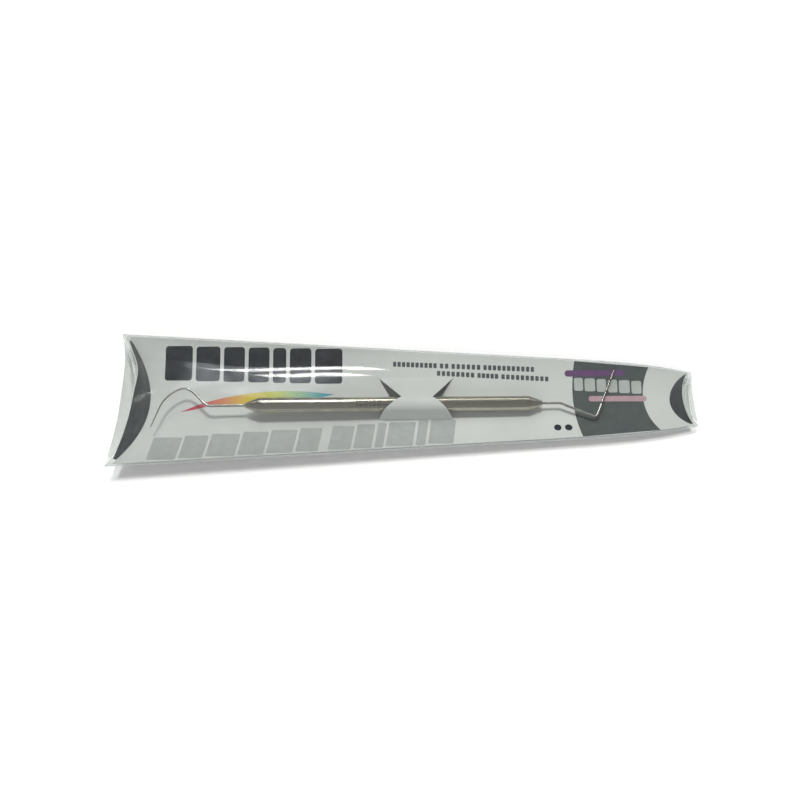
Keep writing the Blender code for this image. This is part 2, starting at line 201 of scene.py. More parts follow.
def film_material(name, haze=(0.002, 0.009), tint=(0.934, 0.945, 0.937)):
    """Thin clear plastic: what is behind shows through unbent, with a gloss and a trace of milky haze.

    The gloss is patchy, and set weaker towards the narrow end.
    """
    g = Graph(name)
    slow = g.noise(0.05, 2.0, (0.3, 1.0, 1.0))
    smear = g.noise(0.30, 5.0, (0.7, 1.0, 1.0), 0.7)
    fine = g.noise(1.4, 4.0)
    normal = g.bump(slow, 0.4)
    clear = g.add("BsdfTransparent", {"Color": (*tint, 1.0)})
    milk = g.add("BsdfDiffuse", {"Color": (0.74, 0.79, 0.82, 1.0)})
    cloudy = g.add("MixShader", {0: g.between(fine, *haze), 1: clear.outputs[0], 2: milk.outputs[0]})
    rough = g.between(smear, 0.03, 0.12)
    gloss = g.add("BsdfGlossy", {"Color": (1, 1, 1, 1), "Roughness": rough, "Normal": normal})
    facing = g.add("LayerWeight", {"Blend": 0.5, "Normal": normal}).outputs["Facing"]
    edge_on = g.add("Math", {0: facing, 1: 5.0}, operation="POWER").outputs[0]
    mirror = g.between(edge_on, 0.045, 1.0)
    patchy = g.add("Math", {0: mirror, 1: g.between(smear, -0.5, 2.7)}, operation="MULTIPLY").outputs[0]
    along = g.add("SeparateXYZ", {"Vector": g.place()}).outputs["X"]
    dulled = {"Value": along, "From Min": -25.0, "From Max": 25.0, "To Min": 1.0, "To Max": 0.35}
    kept = g.add("MapRange", dulled).outputs["Result"]
    share = g.add("Math", {0: patchy, 1: kept}, operation="MULTIPLY", use_clamp=True).outputs[0]
    return g.finish(g.add("MixShader", {0: share, 1: cloudy.outputs[0], 2: gloss.outputs[0]}))


def film_edge_frost_and_highlight_material():
    """The cut edge of the film, frosted by the cut and painted whitish as a painted highlight where light
    gathers.
    """
    g = Graph("film_cut_edge_frost_and_highlight")
    grain = g.noise(4.0, 2.0)
    clear = g.add("BsdfTransparent", {"Color": (0.85, 0.9, 0.9, 1.0)})
    # the whitish colour is partly the frosted cut and partly a painted highlight
    inputs = {"Base Color": (0.78, 0.82, 0.82, 1.0), "Roughness": g.between(grain, 0.12, 0.3)}
    bright = g.add("BsdfPrincipled", inputs)
    return g.finish(g.add("MixShader", {0: 0.55, 1: clear.outputs[0], 2: bright.outputs[0]}))


def board_face_material():
    """The coated, printed face of the card: a pale grey tint, fine grain and a soft gloss."""
    g = Graph("card_printed_face")
    cloud = g.noise(0.05, 3.0)
    grain = g.noise(3.0, 5.0)
    tone = g.ramp(cloud, [(0.3, (0.655, 0.66, 0.65)), (0.7, (0.70, 0.704, 0.694))])
    shade = g.ramp(grain, [(0.3, (0.955, 0.955, 0.955)), (0.7, (1.0, 1.0, 1.0))])
    colour = g.add("MixRGB", {"Fac": 1.0, "Color1": tone, "Color2": shade}, blend_type="MULTIPLY")
    inputs = {
        "Base Color": colour.outputs[0],
        "Roughness": g.between(grain, 0.42, 0.56),
        "Normal": g.bump(grain, 0.006),
    }
    return g.principled(inputs)


def board_back_material():
    """The unprinted back: warmer and rougher, with flecks and fibres."""
    g = Graph("card_back")
    fibre = g.noise(1.1, 6.0, (0.4, 1.6, 1.0))
    fleck = g.ramp(g.noise(2.6, 1.0), [(0.30, (0.42, 0.40, 0.36)), (0.36, (0.60, 0.585, 0.55))])
    shade = g.ramp(fibre, [(0.3, (0.90, 0.90, 0.90)), (0.7, (1.0, 1.0, 1.0))])
    colour = g.add("MixRGB", {"Fac": 1.0, "Color1": fleck, "Color2": shade}, blend_type="MULTIPLY")
    inputs = {
        "Base Color": colour.outputs[0],
        "Roughness": g.between(fibre, 0.7, 0.9),
        "Normal": g.bump(fibre, 0.02),
    }
    return g.principled(inputs)


def board_edge_material():
    """The white pulp at a cut edge, in thin layers."""
    g = Graph("card_cut_edge")
    layers = g.noise(9.0, 3.0, (0.3, 0.3, 2.0))
    colour = g.ramp(layers, [(0.3, (0.62, 0.61, 0.58)), (0.7, (0.80, 0.80, 0.78))])
    inputs = {"Base Color": colour, "Roughness": g.between(layers, 0.75, 0.95)}
    return g.principled(inputs)


def dark_board_material():
    """The dark printed ends of the card, rubbed paler in patches."""
    g = Graph("card_dark_face")
    grain = g.noise(2.2, 5.0)
    rub = g.noise(0.5, 4.0, (1.0, 0.35, 1.0))
    stops = [(0.35, (0.050, 0.056, 0.060)), (0.62, (0.074, 0.082, 0.086)), (0.8, (0.12, 0.13, 0.13))]
    tone = g.ramp(rub, stops)
    inputs = {
        "Base Color": tone,
        "Roughness": g.between(grain, 0.34, 0.5),
        "Normal": g.bump(grain, 0.008),
    }
    return g.principled(inputs)


def ink_material(name, colour, roughness=0.4, mottle=0.12):
    """Printing ink on the board: it covers a little unevenly and follows the board's grain."""
    g = Graph(name)
    grain = g.noise(3.0, 5.0)
    patch = g.noise(0.35, 3.0)
    low = tuple(c * (1 - mottle) for c in colour)
    high = tuple(min(1.0, c * (1 + mottle)) for c in colour)
    inputs = {
        "Base Color": g.ramp(patch, [(0.3, low), (0.7, high)]),
        "Roughness": g.between(grain, roughness - 0.06, roughness + 0.08),
        "Normal": g.bump(grain, 0.005),
    }
    return g.principled(inputs)


def rainbow_material(low_x, high_x):
    """A band of colours that run into each other along X."""
    g = Graph("ink_rainbow")
    along = g.add("SeparateXYZ", {"Vector": g.place()}).outputs["X"]
    inputs = {"Value": along, "From Min": low_x, "From Max": high_x}
    share = g.add("MapRange", inputs).outputs["Result"]
    grain = g.noise(3.0, 5.0)
    stops = [
        (0.0, (0.50, 0.03, 0.09)),
        (0.15, (0.58, 0.09, 0.12)),
        (0.28, (0.68, 0.27, 0.13)),
        (0.46, (0.70, 0.55, 0.04)),
        (0.62, (0.55, 0.58, 0.07)),
        (0.78, (0.26, 0.48, 0.27)),
        (0.92, (0.09, 0.36, 0.46)),
        (1.0, (0.07, 0.33, 0.55)),
    ]
    inputs = {
        "Base Color": g.ramp(share, stops),
        "Roughness": g.between(grain, 0.36, 0.5),
        "Normal": g.bump(grain, 0.005),
    }
    return g.principled(inputs)


def steel_material(name, colour, roughness, lines, aniso=0.0, wear=0.12):
    """Brushed or polished stainless steel. The brushing runs along the small axis of lines."""
    g = Graph(name)
    brush = g.noise(2.4, 4.0, lines, 0.6)
    cloud = g.noise(0.12, 3.0)
    low = tuple(c * (1 - wear) for c in colour)
    inputs = {
        "Base Color": g.ramp(brush, [(0.3, low), (0.7, colour)]),
        "Metallic": 1.0,
        "Roughness": g.between(cloud, roughness * 0.88, roughness * 1.15),
        "Normal": g.bump(brush, 0.0025),
        "Anisotropic": aniso,
    }
    return g.principled(inputs)


def groove_material():
    """The dark finish in the grooves of the scale."""
    g = Graph("groove_black")
    grain = g.noise(6.0, 2.0)
    inputs = {
        "Base Color": g.ramp(grain, [(0.3, (0.012, 0.012, 0.013)), (0.7, (0.03, 0.03, 0.032))]),
        "Roughness": g.between(grain, 0.35, 0.5),
        "Metallic": 0.3,
    }
    return g.principled(inputs)


def floor_material():
    g = Graph("pale_floor")
    grain = g.noise(0.02, 2.0)
    colour = g.ramp(grain, [(0.3, (0.93, 0.93, 0.935)), (0.7, (0.95, 0.95, 0.95))])
    return g.principled({"Base Color": colour, "Roughness": 0.8})


# ----------------------------------------------------------------- meshes


def make_piece(name, bm, materials, smooth=True, sharp=35.0):
    """The mesh is in millimetres, in the frame that the whole object shares."""
    bmesh.ops.scale(bm, vec=(MM, MM, MM), verts=bm.verts)
    bmesh.ops.recalc_face_normals(bm, faces=bm.faces)
    mesh = bpy.data.meshes.new(name)
    bm.to_mesh(mesh)
    bm.free()
    for material in materials:
        mesh.materials.append(material)
    if smooth:
        mesh.shade_smooth()
        mesh.set_sharp_from_angle(angle=math.radians(sharp))
    piece = bpy.data.objects.new(name, mesh)
    bpy.context.collection.objects.link(piece)
    return piece


def slab(bm, top, bottom, keep=None, edge_index=0, back_index=0):
    """A closed sheet between two grids of points. keep(j, i) says which cells are there."""
    upper = [[bm.verts.new(p) for p in row] for row in top]
    lower = [[bm.verts.new(p) for p in row] for row in bottom]
    rows = len(top) - 1
    columns = len(top[0]) - 1

    def there(j, i):
        return 0 <= j < rows and 0 <= i < columns and (keep is None or keep(j, i))

    def wall(a, b, c, d):
        bm.faces.new((a, b, c, d)).material_index = edge_index

    for j in range(rows):
        for i in range(columns):
            if not there(j, i):
                continue
            a, b, c, d = (j, i), (j, i + 1), (j + 1, i + 1), (j + 1, i)
            bm.faces.new([upper[r][s] for r, s in (a, b, c, d)])
            bm.faces.new([lower[r][s] for r, s in (d, c, b, a)]).material_index = back_index
            sides = (((j - 1, i), a, b), ((j, i + 1), b, c), ((j + 1, i), c, d), ((j, i - 1), d, a))
            for neighbour, (r, s), (t, u) in sides:
                if not there(*neighbour):
                    wall(upper[t][u], upper[r][s], lower[r][s], lower[t][u])
    loose = [v for v in bm.verts if not v.link_faces]
    bmesh.ops.delete(bm, geom=loose, context="VERTS")


def offset_grid(grid, distance):
    """The grid moved along its own normals."""
    rows = len(grid)
    columns = len(grid[0])
    moved = []
    for j in range(rows):
        line = []
        for i in range(columns):
            along = Vector(grid[j][min(i + 1, columns - 1)]) - Vector(grid[j][max(i - 1, 0)])
            across = Vector(grid[min(j + 1, rows - 1)][i]) - Vector(grid[max(j - 1, 0)][i])
            line.append(Vector(grid[j][i]) + along.cross(across).normalized() * distance)
        moved.append(line)
    return moved


def steps_between(low, high, count):
    return [low + (high - low) * i / count for i in range(count + 1)]


def join_rings(bm, rings, indices):
    """Skins rings of vertices, with a material index for each stretch, and closes both ends."""
    for low, high, index in zip(rings, rings[1:], indices):
        for i in range(len(low)):
            j = (i + 1) % len(low)
            bm.faces.new((low[i], low[j], high[j], high[i])).material_index = index
    bm.faces.new(rings[0])
    bm.faces.new(rings[-1])


def lathe(bm, profile, segments=72):
    """Turns points of x and radius about the X axis."""
    rings = []
    for x, radius in profile:
        ring = []
        for i in range(segments):
            angle = 2 * math.pi * i / segments
            ring.append(bm.verts.new((x, radius * math.cos(angle), radius * math.sin(angle))))
        rings.append(ring)
    join_rings(bm, rings, [0] * len(rings))


def sweep(bm, path, radii, indices, segments=20):
    """A round wire along a flat path in the XY plane, with a material index for each stretch."""
    rings = []
    for index, (point, radius) in enumerate(zip(path, radii)):
        before = path[max(index - 1, 0)]
        after = path[min(index + 1, len(path) - 1)]
        way = (after - before).normalized()
        side = Vector((-way.y, way.x))
        ring = []
        for i in range(segments):
            angle = 2 * math.pi * i / segments
            flat = side * radius * math.cos(angle)
            place = (point.x + flat.x, point.y + flat.y, radius * math.sin(angle))
            ring.append(bm.verts.new(place))
        rings.append(ring)
    join_rings(bm, rings, indices)


# ----------------------------------------------------------------- the film


def half_width(x):
    share = (x + HALF_LENGTH) / (2 * HALF_LENGTH)
    straight = WIDE_HALF_WIDTH + share * (NARROW_HALF_WIDTH - WIDE_HALF_WIDTH)
    near_end = max(0.0, (x - PINCH_START) / (HALF_LENGTH - PINCH_START))
    return straight - PINCH * near_end**3


def crease_height(x):
    return RISE_RATIO * half_width(x)


def bulge(share):
    """1 over the flat strip, falling to 0 at the side creases."""
    past = (abs(share) - FLAT_SHARE) / (1 - FLAT_SHARE)
    return 1.0 if past <= 0 else 1 - past * past


def end_sag(end):
    return WIDE_END_SAG if end < 0 else NARROW_END_SAG


def dent(x, y, share):
    """Shallow dents in the top panel, none at its creases or ends."""
    wave = noise.noise(Vector((x / 26.0, y / 9.0, 3.7)))
    fade = bulge(share) * min(1.0, (HALF_LENGTH - abs(x)) / 14.0)
    return FILM_RIPPLE * max(0.0, fade) * (0.5 + 0.5 * max(-1.0, min(1.0, wave * 1.6)))


def film_point(share, side, row_share, inset):
    """A point on the outer face of the film, or inset from it. side is 1 on top and -1 underneath."""
    low = -HALF_LENGTH + WIDE_END_SAG * bulge(share)
    high = HALF_LENGTH - NARROW_END_SAG * bulge(share)
    x = low + (high - low) * row_share
    width = half_width(x)
    height = crease_height(x)
    if inset:
        share = share * (FLAT_SHARE + (1 - FLAT_SHARE) * math.sqrt(1 - inset / height))
    rise = height * bulge(share) - inset
    if side > 0:
        rise -= dent(x, share * width, share)
    return (x, share * width, height + side * rise)


def build_sleeve(material, edge):
    rows = 90
    shares = [math.sin(math.radians(a)) for a in steps_between(-90, 90, 56)]
    around = [(s, 1) for s in shares] + [(s, -1) for s in reversed(shares[1:-1])]
    bm = bmesh.new()
    rings = [[film_point(s, side, row / rows, 0.0) for s, side in around] for row in range(rows + 1)]
    rings += [[film_point(s, side, row / rows, FILM) for s, side in around] for row in range(rows, -1, -1)]
    loops = [[bm.verts.new(point) for point in ring] for ring in rings]
    count = len(around)
    for index, (low, high) in enumerate(zip(loops, loops[1:] + loops[:1])):
        at_rim = index in (rows, 2 * rows + 1)
        for i in range(count):
            j = (i + 1) % count
            bm.faces.new((low[i], low[j], high[j], high[i])).material_index = 1 if at_rim else 0
    piece = make_piece("film_sleeve", bm, [material, edge])
    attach(piece, "sleeve")
    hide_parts("sleeve")


def build_lap(material, edge):
    """The glued lap inside the bottom panel, beside the far crease."""
    grid = []
    for share in steps_between(*LAP_SHARES, 14):
        line = []
        for row_share in steps_between(0.004, 0.996, 60):
            x, y, z = film_point(share, -1, row_share, FILM)
            line.append((x, y - LAP_LIFT, z + LAP_LIFT))
        grid.append(line)
    bm = bmesh.new()
    slab(bm, grid, offset_grid(grid, FILM * 0.6), edge_index=1)
    piece = make_piece("film_glued_lap", bm, [material, edge])
    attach(piece, "sleeve")


def build_creases(material):
    """The whitened bend of the film along each side crease."""
    segments = 10
    bm = bmesh.new()
    for side in (-1, 1):
        rings = []
        for x in steps_between(-HALF_LENGTH + 0.3, HALF_LENGTH - 0.3, 80):
            ring = []
            for turn in range(segments):
                angle = 2 * math.pi * turn / segments
                y = side * (half_width(x) - CREASE_RADIUS - 0.02) + CREASE_RADIUS * math.cos(angle)
                ring.append(bm.verts.new((x, y, crease_height(x) + CREASE_RADIUS * math.sin(angle))))
            rings.append(ring)
        join_rings(bm, rings, [0] * len(rings))
    piece = make_piece("film_side_creases", bm, [material])
    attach(piece, "sleeve")


def film_flap_grid(end, side, reach, span):
    """The flap's sheet from the sleeve's rim to its free edge."""
    grid = []
    for along in steps_between(0, 1, 18):
        line = []
        out = FLAP_OFFSET * math.sin(math.pi / 2 * min(1.0, along * 5))
        for share in steps_between(-span, span, 56):
            full = bulge(share)
            rim = end * (HALF_LENGTH - end_sag(end) * full)
            x = rim + end * (out - along * reach[0] * full * full)
            z = crease_height(rim) * (1 + side * full) - side * FILM / 2 + along * reach[1] * full
            line.append((x, share * half_width(rim), z))
        grid.append(line)
    return grid


def build_film_flap(name, end, side, reach, span, material, edge):
    grid = film_flap_grid(end, side, reach, span)
    bm = bmesh.new()
    slab(bm, offset_grid(grid, FILM / 2), offset_grid(grid, -FILM / 2), edge_index=1)
    piece = make_piece("film_" + name, bm, [material, edge])
    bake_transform(piece)
    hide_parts(name)


# ----------------------------------------------------------------- the card


def card_half_width(x):
    return half_width(x) - CARD_MARGIN


def card_height(x, y):
    """The middle of the card's thickness."""
    width = half_width(x)
    share = y / card_half_width(x)
    return crease_height(x) - TROUGH * width * (1 - share * share)


def handle_centre(x):
    """Where the handle's axis passes over x: its y and z."""
    along = x - PROBE_PIVOT[0]
    y = PROBE_PIVOT[1] + along * math.tan(PROBE_YAW)
    z = PROBE_PIVOT[2] - along * math.tan(PROBE_PITCH)
    return y, z


def tangent_height(y, foot, centre, radius):
    """Height at y of the line from foot that just touches the top of the circle, and where it touches."""
    dy = centre[0] - foot[0]
    dz = centre[1] - foot[1]
    far = math.hypot(dy, dz)
    angle = math.atan2(dz, abs(dy)) + math.asin(radius / far)
    touch = centre[0] - math.copysign(radius * math.sin(angle), dy)
    return foot[1] + abs(y - foot[0]) * math.tan(angle), touch


def strap_height(x, y):
    """A band pulled from the card's surface over the handle and back to the card."""
    centre = handle_centre(x)
    radius = HANDLE_RADIUS + STRAP_CLEARANCE
    far_line, far_touch = tangent_height(y, (STRAP_FAR_Y, card_height(x, STRAP_FAR_Y)), centre, radius)
    near_line, near_touch = tangent_height(y, (STRAP_NEAR_Y, card_height(x, STRAP_NEAR_Y)), centre, radius)
    if y >= far_touch:
        height = far_line
    elif y <= near_touch:
        height = near_line
    else:
        height = centre[1] + math.sqrt(radius**2 - (y - centre[0]) ** 2)
    return height


def slit_sides(which, y):
    """x of the strap's edge and of the card's edge beside it, from a corner to the apex and back."""
    outwards = 1 if which else -1
    foot = STRAP_FAR_Y if y > STRAP_APEX_Y else STRAP_NEAR_Y
    share = min(1.0, max(0.0, (y - STRAP_APEX_Y) / (foot - STRAP_APEX_Y)))
    middle = STRAP_APEX_X[which] + (STRAP_END_X[which] - STRAP_APEX_X[which]) * share
    return middle - outwards * SLIT / 2, middle + outwards * (SLIT / 2 + SLIT_SPREAD[which] * (1 - share))


def card_columns():
    """Each column gives y at x. The middle ones follow the strap and draw in where the card is narrow."""
    side_columns = 18
    strap_ys = steps_between(STRAP_NEAR_Y, STRAP_APEX_Y, 34)
    strap_ys += steps_between(STRAP_APEX_Y, STRAP_FAR_Y, 30)[1:]

    def narrowing(x):
        return min(1.0, card_half_width(x) / NARROWING)

    def beside(side, inner, share):
        def place(x):
            start = inner * narrowing(x)
            return start + (side * card_half_width(x) - start) * share

        return place

    def middle(y):
        return lambda x: y * narrowing(x)

    steps = range(1, side_columns + 1)
    columns = [beside(-1, STRAP_NEAR_Y, step / side_columns) for step in reversed(steps)]
    columns += [middle(y) for y in strap_ys]
    columns += [beside(1, STRAP_FAR_Y, step / side_columns) for step in steps]
    return columns, side_columns, side_columns + len(strap_ys) - 1


def card_end_x(end, place):
    """Where a column meets the curved end of the card."""
    corner, more = WIDE_END if end < 0 else NARROW_END
    x = end * (HALF_LENGTH - corner)
    for _ in range(12):
        share = place(x) / card_half_width(x)
        x = end * (HALF_LENGTH - corner - more * (1 - share * share))
    return x


def build_card(face, edge, back):
    columns, first, last = card_columns()
    left_cells, strap_cells, right_cells = 60, 26, 60
    grid = []
    for index, place in enumerate(columns):
        on_columns = first <= index <= last
        y = min(STRAP_FAR_Y, max(STRAP_NEAR_Y, place(0.0)))
        strap_left, card_left = slit_sides(0, y)
        strap_right, card_right = slit_sides(1, y)
        xs = steps_between(card_end_x(-1, place), card_left, left_cells)
        xs += steps_between(strap_left, strap_right, strap_cells)
        xs += steps_between(card_right, card_end_x(1, place), right_cells)
        line = []
        for i, x in enumerate(xs):
            on_strap = on_columns and left_cells < i <= left_cells + 1 + strap_cells
            at = place(x)
            line.append(Vector((x, at, strap_height(x, at) if on_strap else card_height(x, at))))
        grid.append(line)
    slits = (left_cells, left_cells + 1 + strap_cells)
    upper = [[p + Vector((0, 0, CARD / 2)) for p in row] for row in grid]
    lower = [[p - Vector((0, 0, CARD / 2)) for p in row] for row in grid]

    def keep(j, i):
        return not (first <= j < last and i in slits)

    bm = bmesh.new()
    slab(bm, upper, lower, keep, edge_index=1, back_index=2)
    piece = make_piece("card_board", bm, [face, edge, back], sharp=50.0)
    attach(piece, "card")
    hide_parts("card_panel")


def build_card_flap(name, end, reach, curl, materials):
    """A folded end, drawn from the card's own end as one sheet with it. curl pulls its far half in."""
    corner, more = WIDE_END if end < 0 else NARROW_END
    grid = []
    for along in steps_between(0, 1, 22):
        line = []
        for share in steps_between(-CARD_FLAP_SPAN, CARD_FLAP_SPAN, 60):
            full = 1 - share * share
            rim = end * (HALF_LENGTH - corner - more * full)
            y = share * card_half_width(rim)
            lean = reach[0] * (1 - curl * math.exp(-(((share - CURL_PLACE) / CURL_WIDTH) ** 2)))
            out = CARD_FLAP_OFFSET * min(1.0, along * 4)
            x = rim + end * (CARD_FLAP_GAP - along**1.25 * lean * full + out)
            z = card_height(rim, y) + along * reach[1] * full
            line.append(Vector((x, y, z)))
        grid.append(line)
    inner = end * CARD / 2
    bm = bmesh.new()
    slab(bm, offset_grid(grid, -inner), offset_grid(grid, inner), edge_index=1, back_index=2)
    piece = make_piece(name + "_board", bm, materials, sharp=50.0)
    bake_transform(piece)
    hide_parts(name)


# ----------------------------------------------------------------- the print


def print_piece(name, outlines, layer, material):
    """Flat outlines laid on the card's face as a thin coat of ink, one closed slab for each."""
    lift = CARD / 2 + INK_GAP + INK_LAYER * layer
    bm = bmesh.new()
    for outline in outlines:
        bm.faces.new([bm.verts.new((x, y, 0)) for x, y in outline])
    bmesh.ops.triangulate(bm, faces=bm.faces)
    for axis, cell in ((Vector((0, 1, 0)), INK_CELL[1]), (Vector((1, 0, 0)), INK_CELL[0])):
        places = [axis.dot(v.co) for v in bm.verts]
        count = max(1, round((max(places) - min(places)) / cell))
        for place in steps_between(min(places), max(places), count):
            everything = list(bm.verts) + list(bm.edges) + list(bm.faces)
            bmesh.ops.bisect_plane(bm, geom=everything, dist=1e-5, plane_co=axis * place, plane_no=axis)
    for vert in bm.verts:
        vert.co.z = card_height(vert.co.x, vert.co.y) + lift
    for face in bm.faces:
        if face.normal.z < 0:
            face.normal_flip()
    walls = bmesh.ops.extrude_face_region(bm, geom=list(bm.faces))
    raised = [item for item in walls["geom"] if isinstance(item, bmesh.types.BMVert)]
    bmesh.ops.translate(bm, vec=(0, 0, INK), verts=raised)
    piece = make_piece(name, bm, [material], sharp=40.0)
    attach(piece, "card")


def block(x, y, width, height, slant=0.0, radius=0.8):
    """A block with round corners, its lower left corner at x, y. slant leans it to the right."""
    corners = (
        (x + width - radius, y + height - radius, 0),
        (x + radius, y + height - radius, 90),
        (x + radius, y + radius, 180),
        (x + width - radius, y + radius, 270),
    )
    points = []
    for cx, cy, start in corners:
        for turn in steps_between(0, 90, 5):
            angle = math.radians(start + turn)
            px = cx + radius * math.cos(angle)
            py = cy + radius * math.sin(angle)
            points.append((px + slant * (py - y), py))
    return points


def build_dark_blocks():
    """A row of plain blocks as large and dark as a title."""
    height = 13.0
    gap = 1.4
    slope = 0.028  # the row falls to the right
    outlines = []
    x = -90.8
    for width in (10.4, 9.2, 8.0, 8.0, 5.0, 8.2, 10.4):
        outlines.append(block(x, 9.2 - (x + 90) * slope, width, height, radius=1.2))
        x += width + gap
    black = ink_material("ink_navy_black", (0.012, 0.015, 0.021), 0.36, 0.3)
    print_piece("print_dark_blocks", outlines, 0, black)


def build_rainbow():
    """A plain tapering bar of colours behind the handle."""
    upper = smooth_path(RAINBOW_UPPER, 8)
    lower = smooth_path(RAINBOW_LOWER, 8)
    outline = list(upper) + list(lower)[-2:0:-1]
    colours = rainbow_material(RAINBOW_UPPER[0][0], RAINBOW_UPPER[-1][0])
    print_piece("print_rainbow", [outline], 0, colours)


def build_small_lines():
    """Two lines of small print, each word a run of tiny plain blocks."""
    tiny = (1.25, 1.8)  # the size of one block
    pitch = 1.7
    gap = 1.2  # between two words
    lines = (
        (-4.0, 13.9, -0.045, (16.5, 3.2, 10.8, 19.0)),
        (12.6, 10.4, -0.060, (14.0, 7.8, 17.6)),
    )
    outlines = []
    for start, low, slope, widths in lines:
        word = start
        for width in widths:
            last = round(width / pitch) - 1
            for x in steps_between(word, word + width - tiny[0], last):
                outlines.append(block(x, low + slope * (x - start), *tiny, radius=0.25))
            word += width + gap
    print_piece("print_small_lines", outlines, 0, ink_material("ink_grey", (0.09, 0.093, 0.10), 0.45, 0.15))


def build_pale_blocks():
    """A row of wide pale blocks along the near edge, leaning to the right."""
    start = -93.2
    length = 112.0
    gap = 1.0
    wide_gap = 2.6  # what the middle of the row adds to the gap
    edge = 0.3  # kept clear along the card's near edge
    outlines = []
    x = start
    for widths in ((10.6, 8.8, 10.6, 9.4, 9.6, 8.2), (8.2, 6.6, 3.2, 9.8, 3.6, 9.2)):
        for width in widths:
            share = (x - start) / length
            low = max(-24.3 + 5.6 * share, edge - card_half_width(x + width))
            top = min(-14.4 + 7.9 * share, STRAP_NEAR_Y - 0.2)
            outlines.append(block(x, low, width, top - low, slant=0.12, radius=0.7))
            x += width + gap
        x += wide_gap
    pale = ink_material("ink_pale_grey", (0.425, 0.44, 0.43), 0.42, 0.06)
    print_piece("print_pale_blocks", outlines, 0, pale)


def card_edge_y(x, share):
    """A share of the card's half width, kept just inside its cut edge."""
    return share * (card_half_width(x) - 0.05)


def build_dark_band():
    """The dark band across the card near its narrow end, with a straight side and a hollow one."""
    sides = []
    for middle, bow, lean in ((63.2, 1.6, 0.6), (89.3, 3.5, 1.0)):
        side = []
        for share in steps_between(-1, 1, 24):
            x = middle + bow * share * share - lean * share
            side.append((x, card_edge_y(x, share)))
        sides.append(side)
    outline = sides[0][::-1] + sides[1]
    teal = ink_material("ink_dark_teal", (0.084, 0.098, 0.097), 0.4, 0.1)
    print_piece("print_dark_band", [outline], 0, teal)


def build_band_bars():
    """Plain bars and blocks on and beside the band."""
    purple = ink_material("ink_purple", (0.150, 0.075, 0.175), 0.4, 0.1)
    print_piece("print_purple_bar", [block(60.5, 9.7, 22.6, 2.3, radius=1.1)], 1, purple)
    pink = ink_material("ink_pink", (0.50, 0.33, 0.37), 0.42, 0.08)
    print_piece("print_pink_bar", [block(69.0, 0.0, 21.6, 2.2, radius=1.05)], 1, pink)
    light = ink_material("ink_light", (0.46, 0.48, 0.46), 0.42, 0.06)
    start = 63.9
    height = 4.9
    gap = 0.62
    slope = 0.06  # the row falls to the right
    blocks = []
    x = start
    for width in (3.3, 3.9, 3.5, 3.5, 4.0, 3.7):
        blocks.append(block(x, 4.3 - (x - start) * slope, width, height, radius=0.7))
        x += width + gap
    print_piece("print_light_blocks", blocks, 1, light)


def build_dots():
    """Two plain dots near the near edge."""
    radius = 1.35
    y = -11.0
    outlines = []
    for x in (56.6, 60.6):
        dot = []
        for turn in steps_between(0, 345, 23):
            angle = math.radians(turn)
            dot.append((x + radius * math.cos(angle), y + radius * math.sin(angle)))
        outlines.append(dot)
    print_piece("print_dots", outlines, 0, bpy.data.materials["ink_navy_black"])


# ----------------------------------------------------------------- the probe


def probe_place():
    """From the probe's own axis to the frame that the whole object shares, in millimetres."""
    place = Matrix.Translation(Vector(PROBE_PIVOT))
    turn = Matrix.Rotation(PROBE_YAW, 4, "Z") @ Matrix.Rotation(PROBE_PITCH, 4, "Y")
    return place @ turn @ Matrix.Translation(Vector((-PROBE_PIVOT[0], 0, 0)))


def add_probe_piece(name, bm, materials, node, sharp=30.0):
    bmesh.ops.transform(bm, matrix=probe_place(), verts=bm.verts)
    piece = make_piece(name, bm, materials, sharp=sharp)
    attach(piece, "probe")
    if node:
        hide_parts(node)


def build_handle(material):
    low, high = HANDLE_ENDS
    outer = HANDLE_RADIUS
    rim = 0.1  # the radius of the rounded rim at each end
    face = 0.25  # how far the flat end face reaches inwards
    profile = [(low, outer - face)]
    for turn in steps_between(0, 90, 4):
        angle = math.radians(turn)
        profile.append((low + rim - rim * math.cos(angle), outer - rim + rim * math.sin(angle)))
    for x in steps_between(low + 2, high - 2, 24):
        profile.append((x, outer))
    for turn in steps_between(90, 0, 4):
        angle = math.radians(turn)
        profile.append((high - rim + rim * math.cos(angle), outer - rim + rim * math.sin(angle)))
    profile.append((high, outer - face))
    bm = bmesh.new()
    lathe(bm, profile)
    add_probe_piece("handle_barrel", bm, [material], "handle_tube")


def build_etching(material):
    """Short plain dashes etched beside the strap: two rows on its left, one on its right."""
    bm = bmesh.new()
    radius = HANDLE_RADIUS + 0.006
    half_height = 6.5  # in degrees round the handle
    gap = 0.45
    rows = ((-17.4, -4.6, 62.0), (-17.4, -4.6, 92.0), (12.6, 18.4, 118.0))
    for low, high, middle in rows:
        x = low
        step = 0
        while x < high:
            width = 0.7 + 0.5 * (step % 3)
            grid = []
            for turn in steps_between(-half_height, half_height, 3):
                angle = math.radians(middle + turn)
                y = -radius * math.cos(angle)
                z = radius * math.sin(angle)
                grid.append([Vector((x, y, z)), Vector((x + width, y, z))])
            slab(bm, grid, offset_grid(grid, 0.012))
            x += width + gap
            step += 1
    add_probe_piece("handle_etched_dashes", bm, [material], None)


